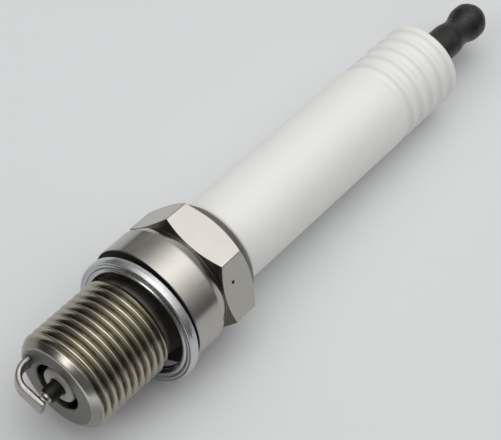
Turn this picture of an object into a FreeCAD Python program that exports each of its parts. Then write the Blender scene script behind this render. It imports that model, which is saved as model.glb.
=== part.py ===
"""Long-barrel M18 spark plug with a captive gasket, as a parametric FreeCAD document.

The plug lies along X: the spark gap is at -X, the terminal at +X, and Z is up.
The origin is on the plug's axis, in the plane of the gasket seat.
Outlines are drawn in the XY plane as (x, radius) pairs and turned about the X axis.
"""
import FreeCAD, Part
import math
import os

import Sketcher

V = FreeCAD.Vector
doc = FreeCAD.newDocument("SparkPlug")

# ---------------------------------------------------------------- driving dimensions, mm and degrees
DIMENSIONS = {
    # shell: thread, neck and front face
    "face_x": -20.6,
    "thread_radius": 9.0,
    "thread_pitch": 1.5,
    "thread_depth": 0.92,
    "thread_end_x": -5.0,
    "rim_radius": 7.65,
    "mouth_radius": 4.38,
    "neck_radius": 7.95,
    "neck_fillet": 0.5,
    # shell: collar, hexagon and crimped lip
    "collar_radius": 11.37,
    "collar_chamfer": 0.25,
    "collar_end_x": 5.6,
    "shoulder_bend": 6.0,
    "hex_root_x": 7.75,
    "hex_root_radius": 10.2,
    "hex_end_x": 14.3,
    "hex_flats": 20.8,
    "hex_roll": 11.3,
    "hex_face_radius": 10.25,
    "lip_radius": 9.95,
    "lip_bend": 2.6,
    "lip_end_x": 16.3,
    "lip_end_radius": 8.55,
    # shell: inside
    "ledge_x": -9.2,
    "cavity_radius": 5.95,
    "cavity_end_x": 1.0,
    "chamber_radius": 9.05,
    # insulator
    "nose_x": -20.4,
    "nose_radius": 3.2,
    "nose_base_radius": 3.75,
    "nose_fillet": 0.35,
    "shoulder_gap": 0.45,
    "body_radius": 5.75,
    "flange_radius": 8.8,
    "flange_end_x": 9.4,
    "packed_radius": 7.85,
    "barrel_start_x": 16.9,
    "barrel_radius": 8.05,
    "barrel_end_x": 59.6,
    "rib_pitch": 3.0,
    "rib_width": 2.2,
    "rib_hollow": 1.35,
    "insulator_end_x": 75.3,
    "end_fillet": 0.9,
    "electrode_bore": 1.6,
    "stud_bore": 2.15,
    "bore_step_x": 2.6,
    # centre electrode, its core and tip
    "electrode_radius": 1.4,
    "electrode_x": -22.9,
    "head_radius": 2.05,
    "head_end_x": 3.6,
    "post_radius": 1.2,
    "post_end_x": 4.8,
    "core_radius": 0.75,
    "core_x": -18.6,
    "tip_radius": 0.95,
    "tip_length": 0.5,
    # ground electrode
    "spark_gap": 0.45,
    "pad_thickness": 0.25,
    "strap_width": 3.0,
    "strap_thickness": 1.1,
    "strap_base_radius": 6.2,
    "strap_bend": 3.2,
    "strap_reach": 1.1,
    "strap_roll": 11.0,
    "strap_edge": 0.35,
    # inside the insulator's bore
    "lower_glass_end_x": 9.4,
    "resistor_end_x": 19.4,
    "upper_glass_end_x": 26.4,
    "shank_x": 21.9,
    "shank_radius": 1.75,
    # terminal
    "base_radius": 3.2,
    "base_end_x": 83.6,
    "terminal_neck_radius": 2.8,
    "neck_start_x": 85.2,
    "neck_end_x": 86.6,
    "head_start_x": 88.8,
    "terminal_head_radius": 3.5,
    "crown_x": 91.1,
    "terminal_end_x": 92.9,
    "terminal_end_radius": 1.6,
    # packing between the shell and the insulator
    "wire_radius": 0.55,
    "lower_wire_x": 10.6,
    "talc_start_x": 11.15,
    "talc_end_x": 14.0,
    "upper_wire_x": 14.55,
    # gasket
    "gasket_inner_radius": 9.2,
    "gasket_outer_radius": 11.75,
    "gasket_thickness": 1.75,
    "gasket_sheet": 0.4,
    "gasket_x": -2.775,
    "gasket_side_shift": -0.7,
    "gasket_lift": -0.1,
    "gasket_tilt": 6.2,
    "gasket_lean_roll": 116.0,
}

sheet = doc.addObject("Spreadsheet::Sheet", "Sizes")
for row, (alias, number) in enumerate(DIMENSIONS.items(), start=1):
    sheet.set(f"A{row}", alias)
    sheet.set(f"B{row}", str(number))
    sheet.setAlias(f"B{row}", alias)
doc.recompute()


class Size:
    """A length that knows both its value now and the sheet expression that drives it."""

    def __init__(self, value, text):
        self.value = value
        self.text = text

    def __add__(self, other):
        other = size(other)
        return Size(self.value + other.value, f"({self.text} + {other.text})")

    def __sub__(self, other):
        other = size(other)
        return Size(self.value - other.value, f"({self.text} - {other.text})")

    def __mul__(self, factor):
        return Size(self.value * factor, f"({self.text} * {factor})")


def size(thing):
    """A Size from a Size, or from a plain number."""
    return thing if isinstance(thing, Size) else Size(float(thing), str(thing))


class Sizes:
    """Reads any driving dimension as an attribute: S.face_x."""

    def __getattr__(self, alias):
        return Size(DIMENSIONS[alias], f"Sizes.{alias}")


S = Sizes()
ZERO = Size(0.0, "0")


# ---------------------------------------------------------------- how outlines become solids
def plane(body, role):
    return next(item for item in body.Origin.OriginFeatures if item.Role == role)


def new_body(name):
    body = doc.addObject("PartDesign::Body", name)
    body.Label = name
    return body


def arc_between(start, end, radius):
    """Circle arc through two points, turning left for a positive radius and right for a negative one."""
    chord = end - start
    middle = (start + end) * 0.5
    height = math.sqrt(max(radius * radius - chord.Length ** 2 / 4, 0.0))
    left = V(-chord.y, chord.x, 0).normalize()
    centre = middle + left * math.copysign(height, radius)
    bulge = (middle - centre).normalize() if height > 1e-9 else left * -math.copysign(1, radius)
    return Part.Arc(start, centre + bulge * abs(radius), end)


def outline(body, name, points, role="XY_Plane"):
    """A closed sketch through (x, y) points. A third entry is the radius of the arc that arrives there."""
    sketch = body.newObject("Sketcher::SketchObject", name)
    sketch.AttachmentSupport = [(plane(body, role), "")]
    sketch.MapMode = "FlatFace"
    corners = [(size(point[0]), size(point[1])) for point in points]
    places = [V(x.value, y.value, 0) for x, y in corners]
    edges = []
    for index, point in enumerate(points):
        start = places[index - 1]
        end = places[index]
        curved = len(point) == 3
        shape = arc_between(start, end, size(point[2]).value) if curved else Part.LineSegment(start, end)
        edges.append(sketch.addGeometry(shape))
    ends = []
    for index, edge in enumerate(edges):
        # a clockwise arc is stored the other way round, so its own ends are looked up
        near_end = (sketch.getPoint(edge, 2) - places[index]).Length < 1e-6
        ends.append((edge, 2 if near_end else 1, 1 if near_end else 2))
    for index, (edge, end_point, _) in enumerate(ends):
        following, _, start_point = ends[(index + 1) % len(ends)]
        sketch.addConstraint(Sketcher.Constraint("Coincident", edge, end_point, following, start_point))
    for index, (edge, end_point, _) in enumerate(ends):
        for axis, length in zip("XY", corners[index]):
            constraint = Sketcher.Constraint("Distance" + axis, -1, 1, edge, end_point, length.value)
            bind(sketch, sketch.addConstraint(constraint), length)
        if len(points[index]) == 3:
            radius = size(points[index][2])
            constraint = Sketcher.Constraint("Radius", edge, abs(radius.value))
            bind(sketch, sketch.addConstraint(constraint), Size(abs(radius.value), f"abs({radius.text})"))
    return sketch


def bind(sketch, constraint, length):
    if "Sizes." in length.text:
        sketch.setExpression(f"Constraints[{constraint}]", length.text)


def turn(body, name, points, kind="PartDesign::Revolution"):
    """Turns an outline of (x, radius) points about the plug's axis: adds material, or removes it."""
    sketch = outline(body, name + "_outline", points)
    feature = body.newObject(kind, name)
    feature.Profile = sketch
    feature.ReferenceAxis = (sketch, ["H_Axis"])
    feature.Angle = 360
    return feature


def turned_part(name, points):
    body = new_body(name)
    turn(body, name + "_turned", points)
    return body


# ---------------------------------------------------------------- the shell
def metal_shell():
    """Hexagon first, then the turned outside, then the bore, then the thread.

    Both ends of the hexagon are turned to 30 degree cones, so its corners stand back from its flats.
    """
    body = new_body("metal_shell")
    hexagon = body.newObject("PartDesign::AdditivePrism", "hexagon")
    hexagon.Polygon = 6
    hexagon.setExpression("Circumradius", "Sizes.hex_flats / sqrt(3)")
    hexagon.setExpression("Height", "Sizes.hex_end_x - Sizes.hex_root_x")
    hexagon.AttachmentSupport = [(plane(body, "YZ_Plane"), "")]
    hexagon.MapMode = "FlatFace"
    hexagon.AttachmentOffset = FreeCAD.Placement(V(0, 0, 1), FreeCAD.Rotation(V(0, 0, 1), 1))
    hexagon.setExpression("AttachmentOffset.Base.z", "Sizes.hex_root_x")
    hexagon.setExpression("AttachmentOffset.Rotation.Angle", "Sizes.hex_roll")
    doc.recompute()

    corner_depth = 3.0
    cone_length = corner_depth * math.tan(math.radians(30))
    turn(body, "front_cone", [
        (S.hex_root_x, S.hex_root_radius),
        (S.hex_root_x + cone_length, S.hex_root_radius + corner_depth),
        (S.hex_root_x - 1, S.hex_root_radius + corner_depth),
        (S.hex_root_x - 1, S.hex_root_radius),
    ], "PartDesign::Groove")
    turn(body, "rear_cone", [
        (S.hex_end_x, S.hex_face_radius),
        (S.hex_end_x - cone_length, S.hex_face_radius + corner_depth),
        (S.hex_end_x + 1, S.hex_face_radius + corner_depth),
        (S.hex_end_x + 1, S.hex_face_radius),
    ], "PartDesign::Groove")

    front_chamfer = S.thread_radius - S.rim_radius
    runout = S.thread_radius - S.neck_radius
    turn(body, "turned_outside", [
        (S.face_x, ZERO),
        (S.face_x, S.rim_radius),
        (S.face_x + front_chamfer, S.thread_radius),
        (S.thread_end_x, S.thread_radius),
        (S.thread_end_x + runout, S.neck_radius),
        (ZERO - S.neck_fillet, S.neck_radius),
        (ZERO, S.neck_radius + S.neck_fillet, S.neck_fillet),
        (ZERO, S.collar_radius - S.collar_chamfer),
        (S.collar_chamfer, S.collar_radius),
        (S.collar_end_x, S.collar_radius),
        (S.hex_root_x, S.hex_root_radius, S.shoulder_bend),
        (S.hex_root_x, S.lip_radius),
        (S.hex_end_x, S.lip_radius),
        (S.lip_end_x, S.lip_end_radius, S.lip_bend * -1),
        (S.lip_end_x, ZERO),
    ])

    ledge_depth = S.cavity_radius - S.mouth_radius
    chamber_depth = S.chamber_radius - S.cavity_radius
    turn(body, "bore", [
        (S.face_x, ZERO),
        (S.face_x, S.mouth_radius),
        (S.ledge_x, S.mouth_radius),
        (S.ledge_x + ledge_depth, S.cavity_radius),
        (S.cavity_end_x, S.cavity_radius),
        (S.cavity_end_x + chamber_depth, S.chamber_radius),
        (S.upper_wire_x + 0.25, S.chamber_radius),
        (S.lip_end_x - 0.6, S.packed_radius + 0.3, -1.0),
        (S.lip_end_x - 0.6, S.packed_radius),
        (S.lip_end_x, S.packed_radius),
        (S.lip_end_x, ZERO),
    ], "PartDesign::Groove")
    doc.recompute()
    cut_thread(body)
    return body


def cut_thread(body):
    """The groove between the threads: a 60 degree cutter with a flat tip, led right-handed along X."""
    overlap = 0.1
    tip_half = S.thread_pitch * 0.0625
    mouth_half = tip_half + (S.thread_depth + overlap) * math.tan(math.radians(30))
    start = S.face_x - S.thread_pitch * 1.25
    root = S.thread_radius - S.thread_depth
    cutter = outline(body, "cutter", [
        (start - mouth_half, S.thread_radius + overlap),
        (start + mouth_half, S.thread_radius + overlap),
        (start + tip_half, root),
        (start - tip_half, root),
    ])
    helix = body.newObject("PartDesign::SubtractiveHelix", "thread")
    helix.Profile = cutter
    helix.ReferenceAxis = (cutter, ["H_Axis"])
    helix.Mode = 0
    helix.LeftHanded = False
    helix.setExpression("Pitch", "Sizes.thread_pitch")
    helix.setExpression("Height", "Sizes.thread_end_x - Sizes.face_x + Sizes.thread_pitch * 2")
    doc.recompute()


# ---------------------------------------------------------------- the ceramic body
def insulator():
    gap = S.shoulder_gap * math.sqrt(2)
    seat_start = S.ledge_x + gap - (S.mouth_radius - S.nose_base_radius)
    seat_end = S.ledge_x + gap + (S.body_radius - S.mouth_radius)
    flange_start = S.cavity_end_x + gap - (S.cavity_radius - S.body_radius)
    flange_full = S.cavity_end_x + gap + (S.flange_radius - S.cavity_radius)
    points = [
        (S.nose_x, S.electrode_bore),
        (S.nose_x, S.nose_radius - S.nose_fillet),
        (S.nose_x + S.nose_fillet, S.nose_radius, S.nose_fillet * -1),
        (seat_start, S.nose_base_radius),
        (seat_end, S.body_radius),
        (flange_start, S.body_radius),
        (flange_full, S.flange_radius),
        (S.flange_end_x, S.flange_radius),
        (S.flange_end_x + (S.flange_radius - S.packed_radius), S.packed_radius),
        (S.barrel_start_x - 0.2, S.packed_radius),
        (S.barrel_start_x, S.barrel_radius),
    ]
    for index in range(5):
        groove_x = S.barrel_end_x + S.rib_pitch * index
        points.append((groove_x, S.barrel_radius))
        points.append((groove_x + S.rib_width, S.barrel_radius, S.rib_hollow))
    points += [
        (S.insulator_end_x - S.end_fillet, S.barrel_radius),
        (S.insulator_end_x, S.barrel_radius - S.end_fillet, S.end_fillet * -1),
        (S.insulator_end_x, S.stud_bore),
        (S.bore_step_x, S.stud_bore),
        (S.bore_step_x - (S.stud_bore - S.electrode_bore), S.electrode_bore),
    ]
    return turned_part("insulator", points)


# ---------------------------------------------------------------- electrodes
def centre_electrode():
    edge = 0.2
    return turned_part("centre_electrode", [
        (S.electrode_x, ZERO),
        (S.electrode_x, S.electrode_radius - edge),
        (S.electrode_x + edge, S.electrode_radius),
        (S.bore_step_x - (S.stud_bore - S.electrode_radius), S.electrode_radius),
        (S.bore_step_x - (S.stud_bore - S.head_radius), S.head_radius),
        (S.head_end_x, S.head_radius),
        (S.head_end_x, S.post_radius),
        (S.post_end_x, S.post_radius),
        (S.post_end_x, S.core_radius),
        (S.core_x, S.core_radius),
        (S.core_x, ZERO),
    ])


def disc(name, start, end, radius):
    return turned_part(name, [(start, ZERO), (start, radius), (end, radius), (end, ZERO)])


def ground_electrode():
    """J-shaped strap: out from the shell's face, round a quarter bend and across the centre electrode."""
    body = new_body("ground_electrode")
    inner_x = S.electrode_x - S.tip_length - S.spark_gap - S.pad_thickness
    outer_x = inner_x - S.strap_thickness
    low = S.strap_base_radius - S.strap_thickness * 0.5
    high = S.strap_base_radius + S.strap_thickness * 0.5
    inner_bend = S.strap_bend - S.strap_thickness * 0.5
    outer_bend = S.strap_bend + S.strap_thickness * 0.5
    sketch = outline(body, "strap_side", [
        (S.face_x, low),
        (S.face_x, high),
        (outer_x + outer_bend, high),
        (outer_x, high - outer_bend, outer_bend),
        (outer_x, ZERO - S.strap_reach),
        (inner_x, ZERO - S.strap_reach),
        (inner_x, low - inner_bend),
        (inner_x + inner_bend, low, inner_bend * -1),
    ])
    strap = body.newObject("PartDesign::Pad", "strap")
    strap.Profile = sketch
    strap.Midplane = True
    strap.setExpression("Length", "Sizes.strap_width")
    doc.recompute()
    long_edges = [
        f"Edge{number}" for number, edge in enumerate(strap.Shape.Edges, start=1)
        if abs(abs(edge.CenterOfMass.z) - S.strap_width.value / 2) < 1e-6
        and edge.BoundBox.XMax < S.face_x.value - 1e-6
    ]
    corners = body.newObject("PartDesign::Fillet", "strap_edges")
    corners.Base = (strap, long_edges)
    corners.setExpression("Radius", "Sizes.strap_edge")
    roll(body)
    return body


def ground_electrode_pad():
    inner_x = S.electrode_x - S.tip_length - S.spark_gap - S.pad_thickness
    return disc("ground_electrode_pad", inner_x, inner_x + S.pad_thickness, S.tip_radius)


def roll(body):
    """Turns a piece drawn in the XY plane about the plug's axis, to the strap's place on the rim."""
    body.Placement = FreeCAD.Placement(V(), FreeCAD.Rotation(V(1, 0, 0), 1))
    body.setExpression("Placement.Rotation.Angle", "Sizes.strap_roll")


# ---------------------------------------------------------------- inside the ceramic's bore
def lower_glass_seal():
    return turned_part("lower_glass_seal", [
        (S.post_end_x, ZERO),
        (S.post_end_x, S.post_radius),
        (S.head_end_x, S.post_radius),
        (S.head_end_x, S.stud_bore),
        (S.lower_glass_end_x, S.stud_bore),
        (S.lower_glass_end_x, ZERO),
    ])


def upper_glass_seal():
    return turned_part("upper_glass_seal", [
        (S.resistor_end_x, ZERO),
        (S.resistor_end_x, S.stud_bore),
        (S.upper_glass_end_x, S.stud_bore),
        (S.upper_glass_end_x, S.shank_radius),
        (S.shank_x, S.shank_radius),
        (S.shank_x, ZERO),
    ])


def terminal_stud():
    crown_bend = 2.2
    return turned_part("terminal_stud", [
        (S.shank_x, ZERO),
        (S.shank_x, S.shank_radius),
        (S.insulator_end_x, S.shank_radius),
        (S.insulator_end_x, S.base_radius),
        (S.base_end_x, S.base_radius),
        (S.neck_start_x, S.terminal_neck_radius),
        (S.neck_end_x, S.terminal_neck_radius),
        (S.head_start_x, S.terminal_head_radius),
        (S.crown_x, S.terminal_head_radius),
        (S.terminal_end_x, S.terminal_end_radius, -crown_bend),
        (S.terminal_end_x, ZERO),
    ])


# ---------------------------------------------------------------- seals between shell and ceramic
def seat_washer():
    """Conical washer that fills the gap between the shell's ledge and the insulator's shoulder."""
    gap = S.shoulder_gap * math.sqrt(2)
    inner = S.mouth_radius + 0.05
    outer = S.body_radius - 0.05
    return turned_part("seat_washer", [
        (S.ledge_x + (inner - S.mouth_radius), inner),
        (S.ledge_x + (outer - S.mouth_radius), outer),
        (S.ledge_x + gap + (outer - S.mouth_radius), outer),
        (S.ledge_x + gap + (inner - S.mouth_radius), inner),
    ])


def wire_ring(name, centre_x):
    """A ring of round wire between the ceramic and the shell."""
    ring = doc.addObject("Part::Torus", name)
    ring.Label = name
    ring.setExpression("Radius1", "(Sizes.packed_radius + Sizes.chamber_radius) / 2")
    ring.setExpression("Radius2", "Sizes.wire_radius")
    ring.Placement = FreeCAD.Placement(V(), FreeCAD.Rotation(V(0, 1, 0), 90))
    ring.setExpression("Placement.Base.x", centre_x.text)
    return ring


def talc_ring():
    return turned_part("talc_ring", [
        (S.talc_start_x, S.packed_radius),
        (S.talc_start_x, S.chamber_radius),
        (S.talc_end_x, S.chamber_radius),
        (S.talc_end_x, S.packed_radius),
    ])


def gasket():
    """Folded sheet-metal washer: two flat sides joined round the outside, one side curled in at the bore.

    It is loose on the neck, so it lies off centre and leans with its top on the seat.
    """
    half = S.gasket_thickness * 0.5
    wall = S.gasket_sheet
    bend_r = S.gasket_outer_radius - half
    curl_r = S.gasket_inner_radius + half
    slot = 0.35
    front = ZERO - half
    body = turned_part("gasket", [
        (half, curl_r),
        (half, bend_r),
        (ZERO, S.gasket_outer_radius, half),
        (front, bend_r, half),
        (front, curl_r),
        (ZERO, S.gasket_inner_radius, half),
        (ZERO + slot, S.gasket_inner_radius),
        (ZERO + slot, S.gasket_inner_radius + wall),
        (ZERO, S.gasket_inner_radius + wall),
        (front + wall, curl_r, (half - wall) * -1),
        (front + wall, bend_r),
        (ZERO, S.gasket_outer_radius - wall, (half - wall) * -1),
        (half - wall, bend_r, (half - wall) * -1),
        (half - wall, curl_r),
    ])
    lean = math.radians(S.gasket_lean_roll.value)
    tilt_axis = V(0, math.sin(lean), -math.cos(lean))
    body.Placement = FreeCAD.Placement(V(1, 1, 1), FreeCAD.Rotation(tilt_axis, 1))
    body.setExpression("Placement.Rotation.Angle", "Sizes.gasket_tilt")
    body.setExpression("Placement.Base.x", "Sizes.gasket_x")
    body.setExpression("Placement.Base.y", "Sizes.gasket_side_shift")
    body.setExpression("Placement.Base.z", "Sizes.gasket_lift")
    return body


# ---------------------------------------------------------------- build, check and write
pieces = [
    metal_shell(),
    insulator(),
    centre_electrode(),
    disc("centre_electrode_core", S.core_x, S.post_end_x, S.core_radius),
    disc("centre_electrode_tip", S.electrode_x - S.tip_length, S.electrode_x, S.tip_radius),
    ground_electrode(),
    ground_electrode_pad(),
    lower_glass_seal(),
    disc("resistor", S.lower_glass_end_x, S.resistor_end_x, S.stud_bore),
    upper_glass_seal(),
    terminal_stud(),
    seat_washer(),
    wire_ring("lower_packing_ring", S.lower_wire_x),
    talc_ring(),
    wire_ring("upper_packing_ring", S.upper_wire_x),
    gasket(),
]
doc.recompute()

failed = [item.Name for item in doc.Objects if {"Invalid", "Error"} & set(item.State)]
if failed:
    raise SystemExit(f"these objects failed: {failed}")

os.makedirs("parts", exist_ok=True)
for piece in pieces:
    shape = piece.Shape
    if shape.isNull() or not shape.isValid() or len(shape.Solids) != 1:
        raise SystemExit(f"{piece.Label} is not one valid solid")
    shape.exportStep(f"parts/{piece.Label}.step")
    print(f"{piece.Label}: {shape.Volume:.1f} mm3, {len(shape.Faces)} faces")
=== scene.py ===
"""The looks of the long-barrel spark plug.

The plug lies along X with its spark gap at -X and its terminal at +X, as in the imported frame.
Outlines are lists of (x, radius, fillet) in millimetres; angles about X run from +Y towards +Z.
"""
import math

import bmesh
import bpy
import numpy as np
from mathutils import Matrix, Vector


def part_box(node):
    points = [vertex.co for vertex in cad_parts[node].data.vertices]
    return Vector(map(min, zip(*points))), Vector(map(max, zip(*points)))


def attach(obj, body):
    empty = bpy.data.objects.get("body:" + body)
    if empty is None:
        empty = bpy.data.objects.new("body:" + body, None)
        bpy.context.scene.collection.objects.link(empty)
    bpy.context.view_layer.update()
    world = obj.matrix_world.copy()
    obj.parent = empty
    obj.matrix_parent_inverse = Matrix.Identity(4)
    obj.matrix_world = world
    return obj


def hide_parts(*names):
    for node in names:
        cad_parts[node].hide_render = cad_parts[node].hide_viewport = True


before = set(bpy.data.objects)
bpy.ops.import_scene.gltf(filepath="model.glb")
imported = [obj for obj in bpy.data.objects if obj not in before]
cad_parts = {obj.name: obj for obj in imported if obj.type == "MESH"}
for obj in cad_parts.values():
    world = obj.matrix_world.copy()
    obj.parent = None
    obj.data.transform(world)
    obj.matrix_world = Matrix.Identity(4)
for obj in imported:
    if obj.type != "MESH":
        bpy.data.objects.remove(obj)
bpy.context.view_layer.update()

MM = 0.001
# m
MERGE_DISTANCE = 2e-7
SHORTEST_EDGE = 1e-8


# ---------------------------------------------------------------- sizes read from the frame, mm
def ends(node):
    """Where a CAD piece starts and ends along X."""
    low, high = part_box(node)
    return low.x / MM, high.x / MM


FACE_X, LIP_X = ends("metal_shell")
NOSE_X, CERAMIC_END_X = ends("insulator")
SHANK_X, TERMINAL_END_X = ends("terminal_stud")
WIRE_X, WIRE_END_X = ends("centre_electrode")
TIP_X, TIP_END_X = ends("centre_electrode_tip")
COPPER_X = ends("centre_electrode_core")[0]
STRAP_X = ends("ground_electrode")[0]

# ---------------------------------------------------------------- the plug's own sizes, mm and degrees
# thread and front face of the shell
THREAD_RADIUS = 9.0
THREAD_PITCH = 1.5
THREAD_DEPTH = 0.92
THREAD_END_X = -5.0
FIRST_GROOVE_TURNS = 1.25
GROOVE_HALF_ANGLE = 30.0
GROOVE_HALF_FLAT = THREAD_PITCH / 16
ROOT_SOFTNESS = 0.14
CREST_SOFTNESS = 0.06
RUNOUT_SOFTNESS = 0.10
RIM_RADIUS = 7.65
MOUTH_RADIUS = 4.38

# neck, collar, shoulder and hexagon of the shell
NECK_RADIUS = 7.95
COLLAR_RADIUS = 11.37
COLLAR_END_X = 5.6
SHOULDER_STEP = 0.25
SHOULDER_START_X = COLLAR_END_X + 0.28
SHOULDER_BEND = 7.0
HEX_ROOT_X = 7.75
HEX_ROOT_RADIUS = 10.2
HEX_END_X = 14.3
HEX_FACE_RADIUS = 10.25
HEX_APOTHEM = 10.4
HEX_CORNER_SOFTNESS = 0.16
HEX_CONE_SLOPE = math.tan(math.radians(30))
HEX_ROLL = 11.3
NICK = (10.22, -9.29, 5.0)

# crimped lip and the room inside the shell
LIP_RADIUS = 9.95
LIP_BEND = 2.6
LIP_END_RADIUS = 8.55
PACKED_RADIUS = 7.85
CHAMBER_RADIUS = 9.05
CHAMBER_START_X = 4.1
CAVITY_RADIUS = 5.95
CAVITY_END_X = 1.0
LEDGE_BACK_X = -7.63
LEDGE_FRONT_X = -9.2

# ceramic
NOSE_RADIUS = 3.2
WIRE_BORE = 1.6
STUD_BORE = 2.15
STUD_BORE_X = 2.6
WAIST_RADIUS = 5.75
BULGE_RADIUS = 8.8
BARREL_RADIUS = 8.05
BARREL_START_X = 16.9
RIB_START_X = 59.6
RIB_PITCH = 3.0
RIB_WIDTH = 2.2
RIB_DEPTH = 0.45
RIB_FLANK = 0.55
RIB_COUNT = 5
TERMINAL_SOCKET_RADIUS = 3.35
TERMINAL_SOCKET_DEPTH = 0.5

# solid terminal
SHANK_RADIUS = 1.75
TERMINAL_BASE_RADIUS = 3.2
TERMINAL_BASE_END_X = 83.4
TERMINAL_NECK_RADIUS = 2.8
TERMINAL_NECK_START_X = 85.3
TERMINAL_NECK_END_X = 86.6
TERMINAL_HEAD_RADIUS = 3.5
TERMINAL_HEAD_START_X = 88.8
TERMINAL_HEAD_END_X = 91.0
TERMINAL_CROWN_RADIUS = 2.1

# centre electrode and its tip
WIRE_RADIUS = 1.4
WIRE_HEAD_RADIUS = 2.05
WIRE_HEAD_END_X = 3.6
WIRE_POST_RADIUS = 1.2
COPPER_RADIUS = 0.75
TIP_RADIUS = 0.95
TIP_BEAD_RADIUS = 1.08

# ground strap
STRAP_ROLL = 11.0
STRAP_WIDTH = 3.0
STRAP_THICKNESS = 1.1
STRAP_EDGE = 0.45
STRAP_BASE_RADIUS = 6.2
STRAP_BEND = 3.2
STRAP_REACH = 1.1

# loose gasket: where it lies, how it leans, its section
GASKET_X = -2.775
GASKET_SHIFT = (-0.7, -0.1)
GASKET_TILT = 6.2
GASKET_LEAN_ROLL = 116.0
GASKET_INNER = 9.2
GASKET_OUTER = 11.75
GASKET_HALF = 0.875


# ---------------------------------------------------------------- light: radiance, degrees
SKY_HORIZON = 0.09
SKY_TOP = 1.6
SKY_POWER = 5.0
# azimuth, elevation, tightness, strength
SOFT_BOXES = [
    (345.0, 62.0, 9.0, 0.84),
    (171.0, 36.0, 60.0, 3.9),
    (303.0, 42.0, 8.0, 0.54),
    (30.0, 10.0, 7.0, 0.60),
]

LIGHT_TINT = (1.0, 0.995, 0.985, 1)

# ---------------------------------------------------------------- floor, mm and degrees
# pale paper around the plug, painted shade further out where the light falls off
FLOOR_CENTRE = 20.0
PAPER_RADIUS = 130.0
FLOOR_HALF = 3000.0
# how the plug lies on it: a corner of the hexagon, the end of the ceramic
CORNER_FROM_BOTTOM = 23.9
HEX_CORNER_INSET = 0.95
CERAMIC_END_INSET = 0.6


# ---------------------------------------------------------------- colours, linear; two where mottled
NICKEL = (0.41, 0.393, 0.36), (0.48, 0.462, 0.427)
THREAD_FILM = (0.43, 0.385, 0.27)
# painted shade for the thread roots
ROOT_PAINTED_SHADE = (0.14, 0.12, 0.070)
# painted shade for the front face
FACE_PAINTED_SHADE = (0.17, 0.167, 0.16)
# painted highlight and painted shade for the two sides of the chamfer
CHAMFER_PAINTED_HIGHLIGHT = (0.70, 0.69, 0.62)
CHAMFER_PAINTED_SHADE = (0.17, 0.165, 0.15)
# painted shade for the mouth of the shell
MOUTH_PAINTED_SHADE = (0.06, 0.055, 0.05)
# painted shade for the hexagon's front cone
CONE_PAINTED_SHADE = (0.075, 0.062, 0.045)
# painted shade for the crimped lip
LIP_PAINTED_SHADE = (0.165, 0.16, 0.15)
# painted shade for the neck under the gasket
NECK_PAINTED_SHADE = (0.035, 0.031, 0.022)
NICK_BLACK = (0.01, 0.01, 0.01)
ZINC = (0.46, 0.473, 0.480), (0.63, 0.642, 0.65)
GLAZE = (0.862, 0.862, 0.832), (0.90, 0.90, 0.875)
BARE_NOSE = (0.30, 0.31, 0.27), (0.52, 0.49, 0.43)
BLACK_OXIDE = (0.012, 0.012, 0.012), (0.035, 0.030, 0.027)
STRAP_NICKEL = (0.33, 0.315, 0.285), (0.47, 0.455, 0.42)
WELD_HEAT = (0.10, 0.10, 0.075)
OXIDISED_WIRE = (0.010, 0.010, 0.009), (0.05, 0.047, 0.04)
PRECIOUS_TIP = (0.28, 0.27, 0.25), (0.55, 0.54, 0.51)
COPPER = (0.70, 0.33, 0.20), (0.85, 0.47, 0.32)
SEAL_GLASS = (0.03, 0.03, 0.035), (0.09, 0.09, 0.10)
RESISTOR_BLOCK = (0.012, 0.012, 0.012), (0.05, 0.05, 0.05)
PRESSED_TALC = (0.62, 0.61, 0.56), (0.80, 0.79, 0.74)
PACKING_STEEL = (0.38, 0.38, 0.39), (0.55, 0.55, 0.56)
PAPER = (0.725, 0.737, 0.752), (0.745, 0.757, 0.772)
# painted shade for the floor beyond the paper
FLOOR_PAINTED_SHADE = (0.09, 0.09, 0.09)


# ---------------------------------------------------------------- camera: mm, then degrees
CAMERA_PLACE = (-112.3, -102.6, 209.0)
CAMERA_TOWARD = (36.55, -50.69)
CAMERA_ROLL = 4.45


# ---------------------------------------------------------------- outlines
def cross(a, b):
    return a.x * b.y - a.y * b.x


def turned_by(vector, angle):
    return Vector((vector.x * math.cos(angle) - vector.y * math.sin(angle),
                   vector.x * math.sin(angle) + vector.y * math.cos(angle)))


def side_share(corners, neighbour):
    """The share of a side that a fillet may take: half, if the side's other end has a fillet too."""
    inner = 0 < neighbour < len(corners) - 1
    return 0.5 if inner and len(corners[neighbour]) == 3 else 0.98


def rounded(corners, steps=4):
    """The points of an outline whose corners (x, radius, fillet) become arcs of steps pieces each."""
    line = []
    for index, corner in enumerate(corners):
        here = Vector(corner[:2])
        fillet = corner[2] if len(corner) == 3 else 0.0
        if fillet == 0.0 or index in (0, len(corners) - 1):
            line.append(here)
            continue
        before = Vector(corners[index - 1][:2]) - here
        after = Vector(corners[index + 1][:2]) - here
        half = before.angle(after) / 2
        shares = [side_share(corners, index - 1), side_share(corners, index + 1)]
        reach = min(fillet / math.tan(half), shares[0] * before.length, shares[1] * after.length)
        radius = reach * math.tan(half)
        toward_centre = (before.normalized() + after.normalized()).normalized()
        centre = here + toward_centre * radius / math.sin(half)
        spoke = here + before.normalized() * reach - centre
        sweep = math.copysign(math.pi - 2 * half, cross(-before, after))
        line += [centre + turned_by(spoke, sweep * step / steps) for step in range(steps + 1)]
    return np.array([tuple(point) for point in line])


def arc(start, end, radius, steps=8):
    """Points between start and end on an arc that bulges outward, or inward if radius is negative."""
    start, end = Vector(start), Vector(end)
    chord = end - start
    left = Vector((-chord.y, chord.x)).normalized()
    height = math.sqrt(max(radius * radius - chord.length_squared / 4, 0.0))
    centre = (start + end) / 2 - left * math.copysign(height, radius)
    spoke = start - centre
    sweep = -math.copysign(2 * math.asin(chord.length / 2 / abs(radius)), radius)
    return [tuple(centre + turned_by(spoke, sweep * step / steps)) for step in range(1, steps)]


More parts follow.
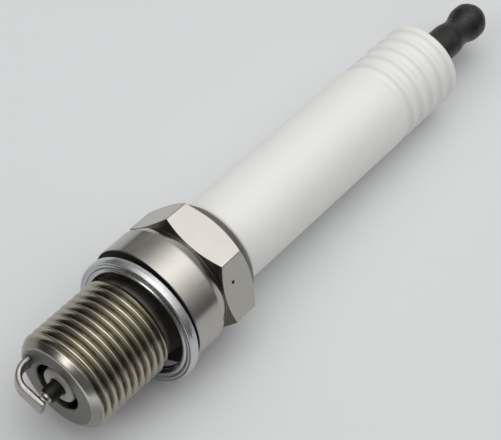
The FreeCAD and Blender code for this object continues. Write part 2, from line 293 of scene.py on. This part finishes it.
def smooth_min(a, b, width):
    """The lower of two outlines, blended where they are nearer than width."""
    near = np.maximum(width - np.abs(a - b), 0.0)
    return np.minimum(a, b) - near * near / (4 * width)


def smooth_max(a, b, width):
    return -smooth_min(-a, -b, width)


# ---------------------------------------------------------------- meshes
def even_angles(count=192):
    return np.arange(count) * 2 * math.pi / count


def hexagon_angles(per_half=26):
    """Angles that crowd towards the hexagon's six corners."""
    share = 1 - np.arange(per_half) / per_half
    half_sector = math.radians(30) * (1 - share ** 2)
    sector = np.concatenate([-half_sector[::-1][:-1], half_sector])
    middles = math.radians(HEX_ROLL + 30) + np.arange(6) * math.radians(60)
    corner = math.radians(HEX_ROLL)
    flats = (middles[:, None] + sector[None, :]).ravel()
    corners = corner + np.arange(6) * math.radians(60)
    return np.sort(np.concatenate([flats, corners + 2 * math.pi * (corners < flats.min())]))


def object_from(name, verts, faces):
    """A smooth-shaded object whose coinciding points are merged."""
    mesh = bpy.data.meshes.new(name)
    mesh.from_pydata(verts, [], faces)
    work = bmesh.new()
    work.from_mesh(mesh)
    bmesh.ops.remove_doubles(work, verts=work.verts, dist=MERGE_DISTANCE)
    bmesh.ops.dissolve_degenerate(work, edges=work.edges, dist=SHORTEST_EDGE)
    bmesh.ops.recalc_face_normals(work, faces=work.faces)
    work.to_mesh(mesh)
    work.free()
    mesh.shade_smooth()
    piece = bpy.data.objects.new(name, mesh)
    bpy.context.scene.collection.objects.link(piece)
    return piece


def skin(name, rows, angles, closed=False):
    """A surface of revolution from rows of (x, radius); a row may hold one pair for each angle."""
    count = len(angles)
    grid = np.array([np.broadcast_to(row, (count, 2)) for row in rows])
    x = grid[:, :, 0]
    y = grid[:, :, 1] * np.cos(angles)
    z = grid[:, :, 1] * np.sin(angles)
    verts = np.stack([x, y, z], axis=2).reshape(-1, 3) * MM
    last = len(rows) if closed else len(rows) - 1
    faces = []
    for row in range(last):
        above = (row + 1) % len(rows) * count
        below = row * count
        for j in range(count):
            k = (j + 1) % count
            faces.append((below + j, below + k, above + k, above + j))
    return object_from(name, verts.tolist(), faces)


def lathe(name, corners, steps=4, count=192, closed=False):
    """A turned piece; a closed one is a ring, and the others end on the axis."""
    return skin(name, list(rounded(corners, steps)), even_angles(count), closed)


def weigh_normals(piece):
    """Keeps flats flat beside small rounded edges."""
    modifier = piece.modifiers.new("normals", "WEIGHTED_NORMAL")
    modifier.weight = 80
    bpy.context.view_layer.objects.active = piece
    with bpy.context.temp_override(object=piece, active_object=piece, selected_objects=[piece]):
        bpy.ops.object.modifier_apply(modifier=modifier.name)


# ---------------------------------------------------------------- material nodes
class Look:
    """A Principled material and short ways to wire its nodes, in mm of the piece's own space."""

    def __init__(self, name, **values):
        self.material = bpy.data.materials.new(name)
        self.material.use_nodes = True
        self.tree = self.material.node_tree
        self.shader = self.tree.nodes["Principled BSDF"]
        for socket, value in values.items():
            self.shader.inputs[socket.replace("_", " ")].default_value = value
        self.bumps = None
        in_mm = self.node("ShaderNodeVectorMath", operation="SCALE")
        self.link(self.node("ShaderNodeTexCoord").outputs["Object"], in_mm.inputs[0])
        in_mm.inputs["Scale"].default_value = 1 / MM
        self.place = in_mm.outputs[0]
        parts = self.node("ShaderNodeSeparateXYZ")
        self.link(self.place, parts.inputs[0])
        self.x, self.y, self.z = parts.outputs
        squares = self.total(self.both(self.y, self.y), self.both(self.z, self.z))
        self.radius = self.math("SQRT", squares)

    def node(self, kind, **settings):
        made = self.tree.nodes.new(kind)
        for name, value in settings.items():
            setattr(made, name, value)
        return made

    def link(self, source, target):
        self.tree.links.new(source, target)

    def feed(self, target, value):
        if isinstance(value, (int, float, tuple)):
            target.default_value = value
        else:
            self.link(value, target)

    def math(self, operation, a, b=0.0):
        made = self.node("ShaderNodeMath", operation=operation)
        self.feed(made.inputs[0], a)
        self.feed(made.inputs[1], b)
        return made.outputs[0]

    def both(self, a, b):
        return self.math("MULTIPLY", a, b)

    def total(self, first, *others):
        for other in others:
            first = self.math("ADD", first, other)
        return first

    def distance(self, point):
        """How far the shaded point is from a fixed point, mm."""
        made = self.node("ShaderNodeVectorMath", operation="DISTANCE")
        self.link(self.place, made.inputs[0])
        made.inputs[1].default_value = point
        return made.outputs["Value"]

    def turned(self, along, around):
        """Coordinates stretched into rings about the X axis: fine along the outline, long around it."""
        ring = self.node("ShaderNodeCombineXYZ")
        self.link(self.both(self.total(self.x, self.radius), along), ring.inputs[0])
        safe = self.math("MAXIMUM", self.radius, 0.01)
        self.link(self.both(self.math("DIVIDE", self.y, safe), around), ring.inputs[1])
        self.link(self.both(self.math("DIVIDE", self.z, safe), around), ring.inputs[2])
        return ring.outputs[0]

    def noise(self, scale, detail, where=None):
        made = self.node("ShaderNodeTexNoise")
        self.link(where or self.place, made.inputs["Vector"])
        made.inputs["Scale"].default_value = scale
        made.inputs["Detail"].default_value = detail
        return made.outputs["Fac"]

    def ramp(self, value, start, end, at_start=0.0, at_end=1.0):
        """A soft step from at_start to at_end as the value goes from start to end, in either sense."""
        made = self.node("ShaderNodeMapRange", interpolation_type="SMOOTHSTEP")
        self.link(value, made.inputs["Value"])
        numbers = {"From Min": start, "From Max": end, "To Min": at_start, "To Max": at_end}
        for socket, number in numbers.items():
            made.inputs[socket].default_value = number
        return made.outputs["Result"]

    def mix(self, share, first, second):
        made = self.node("ShaderNodeMix", data_type="RGBA")
        self.feed(made.inputs["Factor"], share)
        rgba = [socket for socket in made.inputs if socket.type == "RGBA"]
        for socket, colour in zip(rgba, (first, second)):
            if isinstance(colour, tuple):
                socket.default_value = (*colour, 1.0)
            else:
                self.link(colour, socket)
        return next(out for out in made.outputs if out.type == "RGBA")

    def colour(self, source):
        self.link(source, self.shader.inputs["Base Color"])

    def roughness(self, source):
        self.link(source, self.shader.inputs["Roughness"])

    def bump(self, height, strength, distance):
        made = self.node("ShaderNodeBump")
        made.inputs["Strength"].default_value = strength
        made.inputs["Distance"].default_value = distance * MM
        self.link(height, made.inputs["Height"])
        if self.bumps is not None:
            self.link(self.bumps, made.inputs["Normal"])
        self.bumps = made.outputs["Normal"]
        self.link(self.bumps, self.shader.inputs["Normal"])


# ---------------------------------------------------------------- the materials
def nickel_shell():
    """Satin nickel over turned steel: tool rings, a yellowish film on the thread, painted shade on the
    face, in the hollows and on the lip, a painted highlight on the chamfer.
    """
    look = Look("nickel_shell", Metallic=1.0)
    blotches = look.noise(0.35, 3.0)
    metal = look.mix(blotches, *NICKEL)

    # a thin film over the thread, with painted shade in patches in its roots
    thread = look.both(look.ramp(look.x, THREAD_END_X + 1.5, THREAD_END_X + 0.5),
                       look.ramp(look.x, FACE_X + 1.1, FACE_X + 1.6))
    metal = look.mix(look.both(thread, 0.32), metal, THREAD_FILM)
    # painted shade in the thread roots, patchy
    root = look.ramp(look.radius, THREAD_RADIUS - 0.15, THREAD_RADIUS - 0.75)
    patches = look.ramp(look.noise(0.8, 4.0), 0.3, 0.7, 0.55, 0.95)
    metal = look.mix(look.both(look.both(thread, root), patches), metal, ROOT_PAINTED_SHADE)

    # front face darkened with painted shade; a painted highlight on the chamfer's upper right and
    # painted shade on the rest of it; painted shade in the mouth
    # the front face is rougher and darkened with painted shade
    face = look.both(look.ramp(look.x, FACE_X + 0.35, FACE_X + 0.05),
                     look.ramp(look.radius, RIM_RADIUS - 0.1, RIM_RADIUS - 0.4))
    metal = look.mix(look.both(face, 0.8), metal, FACE_PAINTED_SHADE)
    chamfer = look.both(look.ramp(look.x, FACE_X + 1.3, FACE_X + 0.9),
                        look.ramp(look.radius, RIM_RADIUS - 0.3, RIM_RADIUS))
    # a painted highlight on the chamfer's upper right, painted shade on the rest of it
    lit_side = look.both(look.ramp(look.z, 1.0, 4.5), look.ramp(look.y, 3.0, -1.0))
    metal = look.mix(look.both(chamfer, lit_side), metal, CHAMFER_PAINTED_HIGHLIGHT)
    shaded_side = look.both(look.math("SUBTRACT", 1.0, lit_side), 0.6)
    metal = look.mix(look.both(chamfer, shaded_side), metal, CHAMFER_PAINTED_SHADE)
    # painted shade in the mouth of the shell
    mouth = look.ramp(look.radius, MOUTH_RADIUS + 0.3, MOUTH_RADIUS + 0.05)
    metal = look.mix(look.both(mouth, 0.7), metal, MOUTH_PAINTED_SHADE)

    # painted shade on the cone that cuts the hexagon's front corners
    past_cone = look.math("SUBTRACT", look.x, look.both(look.radius, HEX_CONE_SLOPE))
    off_cone = look.math("SUBTRACT", past_cone, HEX_ROOT_X - HEX_ROOT_RADIUS * HEX_CONE_SLOPE)
    cone = look.both(look.ramp(look.math("ABSOLUTE", off_cone), 0.10, 0.04),
                     look.ramp(look.radius, HEX_ROOT_RADIUS - 0.05, HEX_ROOT_RADIUS + 0.1))
    metal = look.mix(look.both(cone, 0.9), metal, CONE_PAINTED_SHADE)

    # crimped lip made rougher and darkened with painted shade, painted shade on the neck deepening from
    # the thread to the seat, a nick in one flat
    lip = look.both(look.ramp(look.x, HEX_END_X + 0.02, HEX_END_X + 0.12),
                    look.ramp(look.radius, PACKED_RADIUS + 0.05, PACKED_RADIUS + 0.3))
    metal = look.mix(look.both(lip, 0.85), metal, LIP_PAINTED_SHADE)
    # painted shade on the neck, deeper towards the seat
    neck = look.both(look.ramp(look.x, THREAD_END_X + 0.7, THREAD_END_X + 1.1),
                     look.ramp(look.x, 0.10, 0.02))
    deepening = look.ramp(look.x, THREAD_END_X + 0.7, THREAD_END_X + 2.1, 0.3, 0.93)
    metal = look.mix(look.both(neck, deepening), metal, NECK_PAINTED_SHADE)
    nick = look.ramp(look.distance(NICK), 0.42, 0.26)
    look.colour(look.mix(nick, metal, NICK_BLACK))

    rings = look.noise(1.0, 2.0, look.turned(9.0, 1.2))
    look.roughness(look.total(look.both(rings, 0.14), look.both(blotches, 0.10), look.both(face, 0.25),
                              look.both(lip, 0.25), look.both(neck, 0.55), 0.09))
    look.bump(rings, 0.5, 0.010)
    look.bump(look.noise(2.2, 3.0), 0.35, 0.012)
    return look.material


def zinc_gasket():
    """Bright zinc-plated sheet with faint rolling lines."""
    look = Look("zinc_gasket", Metallic=1.0)
    clouds = look.noise(0.6, 3.0)
    look.colour(look.mix(clouds, *ZINC))
    rings = look.noise(1.0, 3.0, look.turned(5.0, 0.8))
    look.roughness(look.ramp(rings, 0.3, 0.7, 0.12, 0.32))
    look.bump(rings, 0.6, 0.03)
    look.bump(look.noise(0.9, 2.0), 0.5, 0.05)
    return look.material


def white_ceramic():
    """Satin white glaze; the fired nose is bare, grey and beige."""
    look = Look("white_ceramic", IOR=1.52, Coat_Weight=0.25, Coat_Roughness=0.35)
    clouds = look.noise(0.12, 3.0)
    white = look.mix(clouds, *GLAZE)
    bare = look.ramp(look.x, -9.0, -12.0)
    nose = look.mix(look.noise(1.1, 4.0), *BARE_NOSE)
    white = look.mix(bare, white, nose)
    look.colour(white)
    look.roughness(look.ramp(look.noise(1.5, 3.0), 0.3, 0.7, 0.38, 0.50))
    look.bump(look.noise(0.5, 2.0), 0.25, 0.03)
    look.bump(look.noise(6.0, 2.0), 0.15, 0.006)
    return look.material


def black_terminal():
    """Black oxide, semi-matt, with a brown cast where it is handled."""
    look = Look("black_terminal", Metallic=0.35)
    worn = look.ramp(look.noise(0.7, 4.0), 0.4, 0.75)
    look.colour(look.mix(worn, *BLACK_OXIDE))
    rings = look.noise(1.0, 2.0, look.turned(5.0, 0.8))
    look.roughness(look.ramp(rings, 0.3, 0.7, 0.32, 0.46))
    look.bump(rings, 0.4, 0.02)
    look.bump(look.noise(4.0, 3.0), 0.3, 0.012)
    return look.material


def strap_alloy():
    """Bare nickel strip, drawn along its length, blued and greened by the weld at its root."""
    look = Look("strap_alloy", Metallic=1.0)
    streaks = look.noise(3.0, 3.0)
    metal = look.mix(streaks, *STRAP_NICKEL)
    heat = look.ramp(look.x, FACE_X - 1.2, FACE_X)
    metal = look.mix(look.both(heat, 0.85), metal, WELD_HEAT)
    look.colour(metal)
    look.roughness(look.ramp(look.noise(1.3, 3.0), 0.3, 0.7, 0.22, 0.40))
    look.bump(streaks, 0.3, 0.015)
    return look.material


def speckled(name, shades, scale, bump_mm, roughness, metallic=0.0):
    """A simple material of two mixed shades with a fine surface."""
    look = Look(name, Metallic=metallic)
    grain = look.noise(scale, 4.0)
    look.colour(look.mix(grain, *shades))
    cloudy = look.noise(scale * 0.5, 3.0)
    look.roughness(look.ramp(cloudy, 0.3, 0.7, roughness * 0.85, min(roughness * 1.2, 1.0)))
    look.bump(grain, 0.4, bump_mm)
    return look.material


def floor_material():
    """Pale paper round the plug, fading to painted shade further out."""
    look = Look("pale_floor", Roughness=0.75)
    mottle = look.noise(0.02, 2.0)
    pale = look.mix(mottle, *PAPER)
    shade = look.ramp(look.distance((FLOOR_CENTRE, 0.0, 0.0)), PAPER_RADIUS, PAPER_RADIUS * 1.6)
    look.colour(look.mix(shade, pale, FLOOR_PAINTED_SHADE))
    look.bump(look.noise(0.8, 2.0), 0.05, 0.02)
    return look.material


# ---------------------------------------------------------------- the shell
def hexagon_radius(angles):
    """Radius of the hexagon at each angle, its corners slightly rounded."""
    sector = math.radians(60)
    half_sector = sector / 2
    from_middle = (angles - math.radians(HEX_ROLL)) % sector - half_sector
    near_flat = HEX_APOTHEM / np.cos(from_middle)
    next_flat = HEX_APOTHEM / np.cos(sector - np.abs(from_middle))
    return smooth_min(near_flat, next_flat, HEX_CORNER_SOFTNESS)


def thread_radius(x, angles):
    """Radius of the right-hand thread, run out on the front chamfer and the neck."""
    groove_x = FACE_X + THREAD_PITCH * (angles / (2 * math.pi) - FIRST_GROOVE_TURNS)
    half_pitch = THREAD_PITCH / 2
    from_groove = np.abs((x - groove_x + half_pitch) % THREAD_PITCH - half_pitch)
    root = THREAD_RADIUS - THREAD_DEPTH
    flank = root + (from_groove - GROOVE_HALF_FLAT) / math.tan(math.radians(GROOVE_HALF_ANGLE))
    ridge = smooth_min(smooth_max(flank, root, ROOT_SOFTNESS), THREAD_RADIUS, CREST_SOFTNESS)
    chamfer = RIM_RADIUS + (x - FACE_X)
    runout = THREAD_END_X + THREAD_RADIUS - x
    return smooth_min(smooth_min(ridge, chamfer, RUNOUT_SOFTNESS), runout, RUNOUT_SOFTNESS)


def thread_rows(angles, first_x, last_x):
    """Rows that follow the helix, so that every crest and root has its own vertices."""
    half_groove = np.array([0.0, 0.07, 0.14, 0.22, 0.36, 0.50, 0.57, 0.60, 0.63, 0.66, 0.75])
    offsets = np.concatenate([half_groove, THREAD_PITCH - half_groove[1:-1][::-1]])
    turns = math.ceil((last_x - first_x) / THREAD_PITCH) + 3
    rows = []
    for turn in range(turns):
        groove_x = FACE_X + THREAD_PITCH * (turn - 1 - FIRST_GROOVE_TURNS + angles / (2 * math.pi))
        for offset in offsets:
            x = np.clip(groove_x + offset, first_x, last_x)
            rows.append(np.stack([x, thread_radius(x, angles)], axis=1))
    return rows


def shell():
    """One closed skin: face, thread, neck, collar, hexagon, lip and the room inside."""
    angles = hexagon_angles()
    first_x = FACE_X + 0.35
    last_x = THREAD_END_X + THREAD_RADIUS - NECK_RADIUS + 0.1
    face = rounded([
        (FACE_X + 2.0, MOUTH_RADIUS),
        (FACE_X, MOUTH_RADIUS, 0.25),
        (FACE_X, RIM_RADIUS, 0.5),
        (first_x, RIM_RADIUS + first_x - FACE_X),
    ])
    neck_and_collar = rounded([
        (last_x, NECK_RADIUS),
        (0.0, NECK_RADIUS, 0.5),
        (0.0, COLLAR_RADIUS, 0.25),
        (COLLAR_END_X, COLLAR_RADIUS),
    ], steps=6)
    rows = [*face[:-1], *thread_rows(angles, first_x, last_x), *neck_and_collar[1:-1]]

    low_collar = COLLAR_RADIUS - SHOULDER_STEP
    shoulder = arc((SHOULDER_START_X, low_collar), (HEX_ROOT_X, HEX_ROOT_RADIUS), SHOULDER_BEND)
    lip = arc((HEX_END_X, LIP_RADIUS), (LIP_X, LIP_END_RADIUS), LIP_BEND)
    outlines = []
    for radius in hexagon_radius(angles):
        outlines.append(rounded([
            (COLLAR_END_X - 1.0, COLLAR_RADIUS),
            (COLLAR_END_X, COLLAR_RADIUS, 0.10),
            (COLLAR_END_X + 0.10, low_collar, 0.05),
            (SHOULDER_START_X, low_collar, 0.05),
            *shoulder,
            (HEX_ROOT_X, HEX_ROOT_RADIUS, 0.05),
            (HEX_ROOT_X + (radius - HEX_ROOT_RADIUS) * HEX_CONE_SLOPE, radius, 0.10),
            (HEX_END_X - (radius - HEX_FACE_RADIUS) * HEX_CONE_SLOPE, radius, 0.14),
            (HEX_END_X, HEX_FACE_RADIUS, 0.08),
            (HEX_END_X, LIP_RADIUS, 0.05),
            *lip,
            (LIP_X, LIP_END_RADIUS, 0.2),
            (LIP_X, PACKED_RADIUS, 0.15),
            (LIP_X - 0.9, PACKED_RADIUS),
            (LIP_X - 1.6, CHAMBER_RADIUS),
            (CHAMBER_START_X, CHAMBER_RADIUS),
            (CAVITY_END_X, CAVITY_RADIUS),
            (LEDGE_BACK_X, CAVITY_RADIUS),
            (LEDGE_FRONT_X, MOUTH_RADIUS),
        ]))
    rows += list(np.stack(outlines, axis=1))[1:]
    piece = skin("plug_shell", rows, angles, closed=True)
    weigh_normals(piece)
    return piece


# ---------------------------------------------------------------- turned pieces
def insulator():
    """The whole ceramic: nose, waist, bulge, long barrel, soft grooves, rounded end, stepped bore."""
    corners = [
        (NOSE_X + 3.0, WIRE_BORE),
        (NOSE_X, WIRE_BORE, 0.15),
        (NOSE_X, NOSE_RADIUS, 0.45),
        (-9.4, 3.75),
        (-7.3, WAIST_RADIUS),
        (1.4, WAIST_RADIUS),
        (4.4, BULGE_RADIUS),
        (9.4, BULGE_RADIUS),
        (10.35, PACKED_RADIUS),
        (BARREL_START_X - 0.2, PACKED_RADIUS),
        (BARREL_START_X, BARREL_RADIUS, 0.1),
    ]
    groove_radius = BARREL_RADIUS - RIB_DEPTH
    for rib in range(RIB_COUNT):
        start = RIB_START_X + RIB_PITCH * rib
        end = start + RIB_WIDTH
        corners += [
            (start, BARREL_RADIUS, 0.7),
            (start + RIB_FLANK, groove_radius, 0.9),
            (end - RIB_FLANK, groove_radius, 0.9),
            (end, BARREL_RADIUS, 0.7),
        ]
    socket_x = CERAMIC_END_X - TERMINAL_SOCKET_DEPTH
    corners += [
        (CERAMIC_END_X, BARREL_RADIUS, 0.9),
        (CERAMIC_END_X, TERMINAL_SOCKET_RADIUS, 0.12),
        (socket_x, TERMINAL_SOCKET_RADIUS - 0.05),
        (socket_x, STUD_BORE),
        (STUD_BORE_X, STUD_BORE),
        (STUD_BORE_X - (STUD_BORE - WIRE_BORE), WIRE_BORE),
    ]
    return lathe("ceramic_insulator", corners, steps=6, closed=True)


def terminal():
    """The solid terminal with its long shank down the ceramic's bore."""
    return lathe("solid_terminal", [
        (SHANK_X, 0.0),
        (SHANK_X, SHANK_RADIUS, 0.1),
        (CERAMIC_END_X, SHANK_RADIUS),
        (CERAMIC_END_X, TERMINAL_BASE_RADIUS, 0.05),
        (TERMINAL_BASE_END_X, TERMINAL_BASE_RADIUS, 3.0),
        (TERMINAL_NECK_START_X, TERMINAL_NECK_RADIUS, 2.4),
        (TERMINAL_NECK_END_X, TERMINAL_NECK_RADIUS, 2.4),
        (TERMINAL_HEAD_START_X, TERMINAL_HEAD_RADIUS, 3.0),
        (TERMINAL_HEAD_END_X, TERMINAL_HEAD_RADIUS, 2.4),
        (TERMINAL_END_X, TERMINAL_CROWN_RADIUS, 1.3),
        (TERMINAL_END_X, 0.0),
    ], steps=8, count=128)


def centre_electrode():
    """The wire, worn round at its firing end, with its head, its post and its bore for the copper."""
    return lathe("centre_electrode_wire", [
        (COPPER_X, 0.0),
        (COPPER_X, COPPER_RADIUS),
        (WIRE_END_X, COPPER_RADIUS),
        (WIRE_END_X, WIRE_POST_RADIUS),
        (WIRE_HEAD_END_X, WIRE_POST_RADIUS),
        (WIRE_HEAD_END_X, WIRE_HEAD_RADIUS, 0.2),
        (WIRE_HEAD_END_X - 0.8, WIRE_HEAD_RADIUS, 0.2),
        (WIRE_HEAD_END_X - 1.3, WIRE_RADIUS),
        (WIRE_X, WIRE_RADIUS, 0.35),
        (WIRE_X, 0.0),
    ], steps=6, count=96)


def firing_tip():
    """The small disc of precious metal on the wire's end, with the bead of its weld."""
    return lathe("firing_tip", [
        (TIP_X, 0.0),
        (TIP_X, TIP_RADIUS - 0.02, 0.15),
        (TIP_END_X - 0.10, TIP_RADIUS, 0.05),
        (TIP_END_X - 0.02, TIP_BEAD_RADIUS, 0.04),
        (TIP_END_X, TIP_BEAD_RADIUS),
        (TIP_END_X, 0.0),
    ], steps=5, count=96)


def gasket():
    """Folded washer: round outer fold, dished front, a curled lip at the bore."""
    front = -GASKET_HALF
    back = GASKET_HALF
    piece = lathe("captive_gasket", [
        (0.30, GASKET_INNER),
        (-0.40, GASKET_INNER + 0.05, 0.4),
        (front - 0.02, GASKET_INNER + 0.55, 0.16),
        (front - 0.02, GASKET_INNER + 0.90, 0.14),
        (front + 0.17, GASKET_INNER + 1.06, 0.10),
        (front + 0.17, GASKET_INNER + 1.20, 0.15),
        (front + 0.03, GASKET_INNER + 1.55, 0.6),
        (front + 0.10, GASKET_OUTER - 0.70, 0.5),
        (front, GASKET_OUTER - 0.42, 0.12),
        (front + 0.12, GASKET_OUTER - 0.16, 0.12),
        (front + 0.50, GASKET_OUTER - 0.10, 0.3),
        (front + 0.75, GASKET_OUTER - 0.02, 0.2),
        (back - 0.20, GASKET_OUTER, 0.25),
        (back, GASKET_OUTER - 0.30, 0.25),
        (back, GASKET_INNER + 0.90, 0.5),
        (back - 0.25, GASKET_INNER + 0.25, 0.3),
        (0.42, GASKET_INNER, 0.1),
    ], steps=5, count=256, closed=True)
    lean = math.radians(GASKET_LEAN_ROLL)
    tilt_axis = Vector((0, math.sin(lean), -math.cos(lean)))
    tilt = Matrix.Rotation(math.radians(GASKET_TILT), 4, tilt_axis)
    piece.matrix_world = Matrix.Translation(Vector((GASKET_X, *GASKET_SHIFT)) * MM) @ tilt
    return piece


# ---------------------------------------------------------------- the strap
def strap_section():
    """A rectangle with rounded edges, as (across the width, through the thickness)."""
    half_wide = STRAP_WIDTH / 2 - STRAP_EDGE
    half_thick = STRAP_THICKNESS / 2 - STRAP_EDGE
    section = []
    for quarter, (side, face) in enumerate([(1, 1), (-1, 1), (-1, -1), (1, -1)]):
        for step in range(5):
            angle = math.radians(90 * quarter + 22.5 * step)
            section.append((side * half_wide + STRAP_EDGE * math.cos(angle),
                            face * half_thick + STRAP_EDGE * math.sin(angle)))
    return np.array(section)


def ground_strap():
    """J-shaped strip, flared into its weld at the shell's face and rubbed round at its free end."""
    centre_x = STRAP_X + STRAP_THICKNESS / 2
    path = rounded([
        (FACE_X + 0.15, STRAP_BASE_RADIUS),
        (FACE_X - 0.12, STRAP_BASE_RADIUS),
        (centre_x, STRAP_BASE_RADIUS, STRAP_BEND),
        (centre_x, 1.0),
        (centre_x, -STRAP_REACH + 0.15),
        (centre_x, -STRAP_REACH + 0.04),
        (centre_x, -STRAP_REACH),
    ], steps=14)
    section = strap_section()
    swelling = [1.22, 1.12] + [1.0] * (len(path) - 5) + [0.99, 0.96, 0.86]
    verts = []
    for index, point in enumerate(path):
        ahead = path[min(index + 1, len(path) - 1)] - path[max(index - 1, 0)]
        ahead = ahead / np.linalg.norm(ahead)
        normal = np.array([-ahead[1], ahead[0]])
        for wide, thick in section * swelling[index]:
            x, y = (point + normal * thick) * MM
            verts.append((x, y, wide * MM))
    count = len(section)
    last_ring = (len(path) - 1) * count
    faces = [tuple(range(count)), tuple(range(last_ring, last_ring + count))[::-1]]
    for ring in range(0, last_ring, count):
        for j in range(count):
            k = (j + 1) % count
            faces.append((ring + j, ring + k, ring + count + k, ring + count + j))
    piece = object_from("ground_strap", verts, faces)
    piece.data.transform(Matrix.Rotation(math.radians(STRAP_ROLL), 4, "X"))
    weigh_normals(piece)
    return piece


# ---------------------------------------------------------------- the stage
def stage():
    """Pale floor under the plug, which lies on a hexagon corner, its collar and its ceramic's end."""
    corner_x = HEX_END_X - HEX_CORNER_INSET
    corner_radius = 2 * HEX_APOTHEM / math.sqrt(3)
    corner_drop = corner_radius * math.cos(math.radians(CORNER_FROM_BOTTOM))
    slope = math.atan2(corner_drop - BARREL_RADIUS, CERAMIC_END_X - CERAMIC_END_INSET - corner_x)
    lie = math.radians(HEX_ROLL + 60 + CORNER_FROM_BOTTOM - 90)
    half = FLOOR_HALF * MM
    corners = [(-half, -half, 0), (half, -half, 0), (half, half, 0), (-half, half, 0)]
    mesh = bpy.data.meshes.new("floor")
    mesh.from_pydata(corners, [], [(0, 1, 2, 3)])
    mesh.materials.append(floor_material())
    floor = bpy.data.objects.new("floor", mesh)
    bpy.context.scene.collection.objects.link(floor)
    floor.matrix_world = (Matrix.Rotation(lie, 4, "X")
                          @ Matrix.Translation(Vector((corner_x, 0, -corner_drop)) * MM)
                          @ Matrix.Rotation(-slope, 4, "Y"))


def direction(azimuth, elevation):
    """The unit vector towards an azimuth and an elevation in degrees."""
    azimuth, elevation = math.radians(azimuth), math.radians(elevation)
    level = math.cos(elevation)
    return level * math.cos(azimuth), level * math.sin(azimuth), math.sin(elevation)


def studio():
    """A room that is dark at the horizon and bright overhead, with large soft boxes."""
    world = bpy.data.worlds.new("studio")
    bpy.context.scene.world = world
    world.use_nodes = True
    nodes, links = world.node_tree.nodes, world.node_tree.links

    def math_node(operation, a, b=0.0):
        made = nodes.new("ShaderNodeMath")
        made.operation = operation
        for socket, value in zip(made.inputs, (a, b)):
            if isinstance(value, float):
                socket.default_value = value
            else:
                links.new(value, socket)
        return made.outputs[0]

    toward = nodes.new("ShaderNodeTexCoord").outputs["Generated"]
    split = nodes.new("ShaderNodeSeparateXYZ")
    links.new(toward, split.inputs[0])
    height = math_node("MAXIMUM", split.outputs["Z"], 0.0)
    overhead = math_node("MULTIPLY", math_node("POWER", height, SKY_POWER), SKY_TOP)
    light = math_node("ADD", overhead, SKY_HORIZON)
    for azimuth, elevation, tightness, strength in SOFT_BOXES:
        facing = nodes.new("ShaderNodeVectorMath")
        facing.operation = "DOT_PRODUCT"
        links.new(toward, facing.inputs[0])
        facing.inputs[1].default_value = direction(azimuth, elevation)
        falloff = math_node("MULTIPLY", math_node("SUBTRACT", facing.outputs["Value"], 1.0), tightness)
        box = math_node("MULTIPLY", math_node("EXPONENT", falloff), strength)
        light = math_node("ADD", light, box)
    background = nodes["Background"]
    background.inputs["Color"].default_value = LIGHT_TINT
    links.new(light, background.inputs["Strength"])


def camera():
    """The plug seen from above its spark end."""
    data = bpy.data.cameras.new("camera")
    data.lens = 115.0
    data.sensor_width = 36.0
    data.clip_start = 0.01
    seen = bpy.data.objects.new("camera", data)
    bpy.context.scene.collection.objects.link(seen)
    level = Vector(direction(*CAMERA_TOWARD)).to_track_quat("-Z", "Y").to_matrix().to_4x4()
    seen.matrix_world = (Matrix.Translation(Vector(CAMERA_PLACE) * MM)
                         @ level @ Matrix.Rotation(math.radians(CAMERA_ROLL), 4, "Z"))
    bpy.context.scene.camera = seen


# ---------------------------------------------------------------- putting it together
def finish_piece(piece, body, material, node):
    """Gives a built piece its material and its body, and lets it stand for its CAD node."""
    piece.data.materials.append(material)
    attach(piece, body)
    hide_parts(node)


def dress(node, material):
    """A CAD node keeps its shape and gets a procedural material."""
    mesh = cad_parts[node].data
    mesh.materials.clear()
    mesh.materials.append(material)


camera()
stage()
studio()

bpy.context.scene.view_settings.view_transform = "Standard"

finish_piece(shell(), "plug", nickel_shell(), "metal_shell")
finish_piece(insulator(), "plug", white_ceramic(), "insulator")
finish_piece(gasket(), "gasket", zinc_gasket(), "gasket")
finish_piece(terminal(), "plug", black_terminal(), "terminal_stud")
finish_piece(ground_strap(), "plug", strap_alloy(), "ground_electrode")

dark_nickel = speckled("dark_nickel", OXIDISED_WIRE, 2.5, 0.02, roughness=0.38, metallic=0.8)
precious = speckled("precious_metal", PRECIOUS_TIP, 3.0, 0.01, roughness=0.25, metallic=1.0)
finish_piece(centre_electrode(), "plug", dark_nickel, "centre_electrode")
finish_piece(firing_tip(), "plug", precious, "centre_electrode_tip")

copper = speckled("copper_core", COPPER, 1.2, 0.01, roughness=0.35, metallic=1.0)
seal_glass = speckled("seal_glass", SEAL_GLASS, 2.0, 0.02, roughness=0.45)
resistor = speckled("resistor_block", RESISTOR_BLOCK, 3.0, 0.04, roughness=0.8)
talc = speckled("pressed_talc", PRESSED_TALC, 3.0, 0.04, roughness=0.9)
packing = speckled("packing_steel", PACKING_STEEL, 1.5, 0.01, roughness=0.38, metallic=1.0)
inner_pieces = {
    "ground_electrode_pad": precious,
    "centre_electrode_core": copper,
    "lower_glass_seal": seal_glass,
    "upper_glass_seal": seal_glass,
    "resistor": resistor,
    "talc_ring": talc,
    "seat_washer": packing,
    "lower_packing_ring": packing,
    "upper_packing_ring": packing,
}
for node, material in inner_pieces.items():
    dress(node, material)
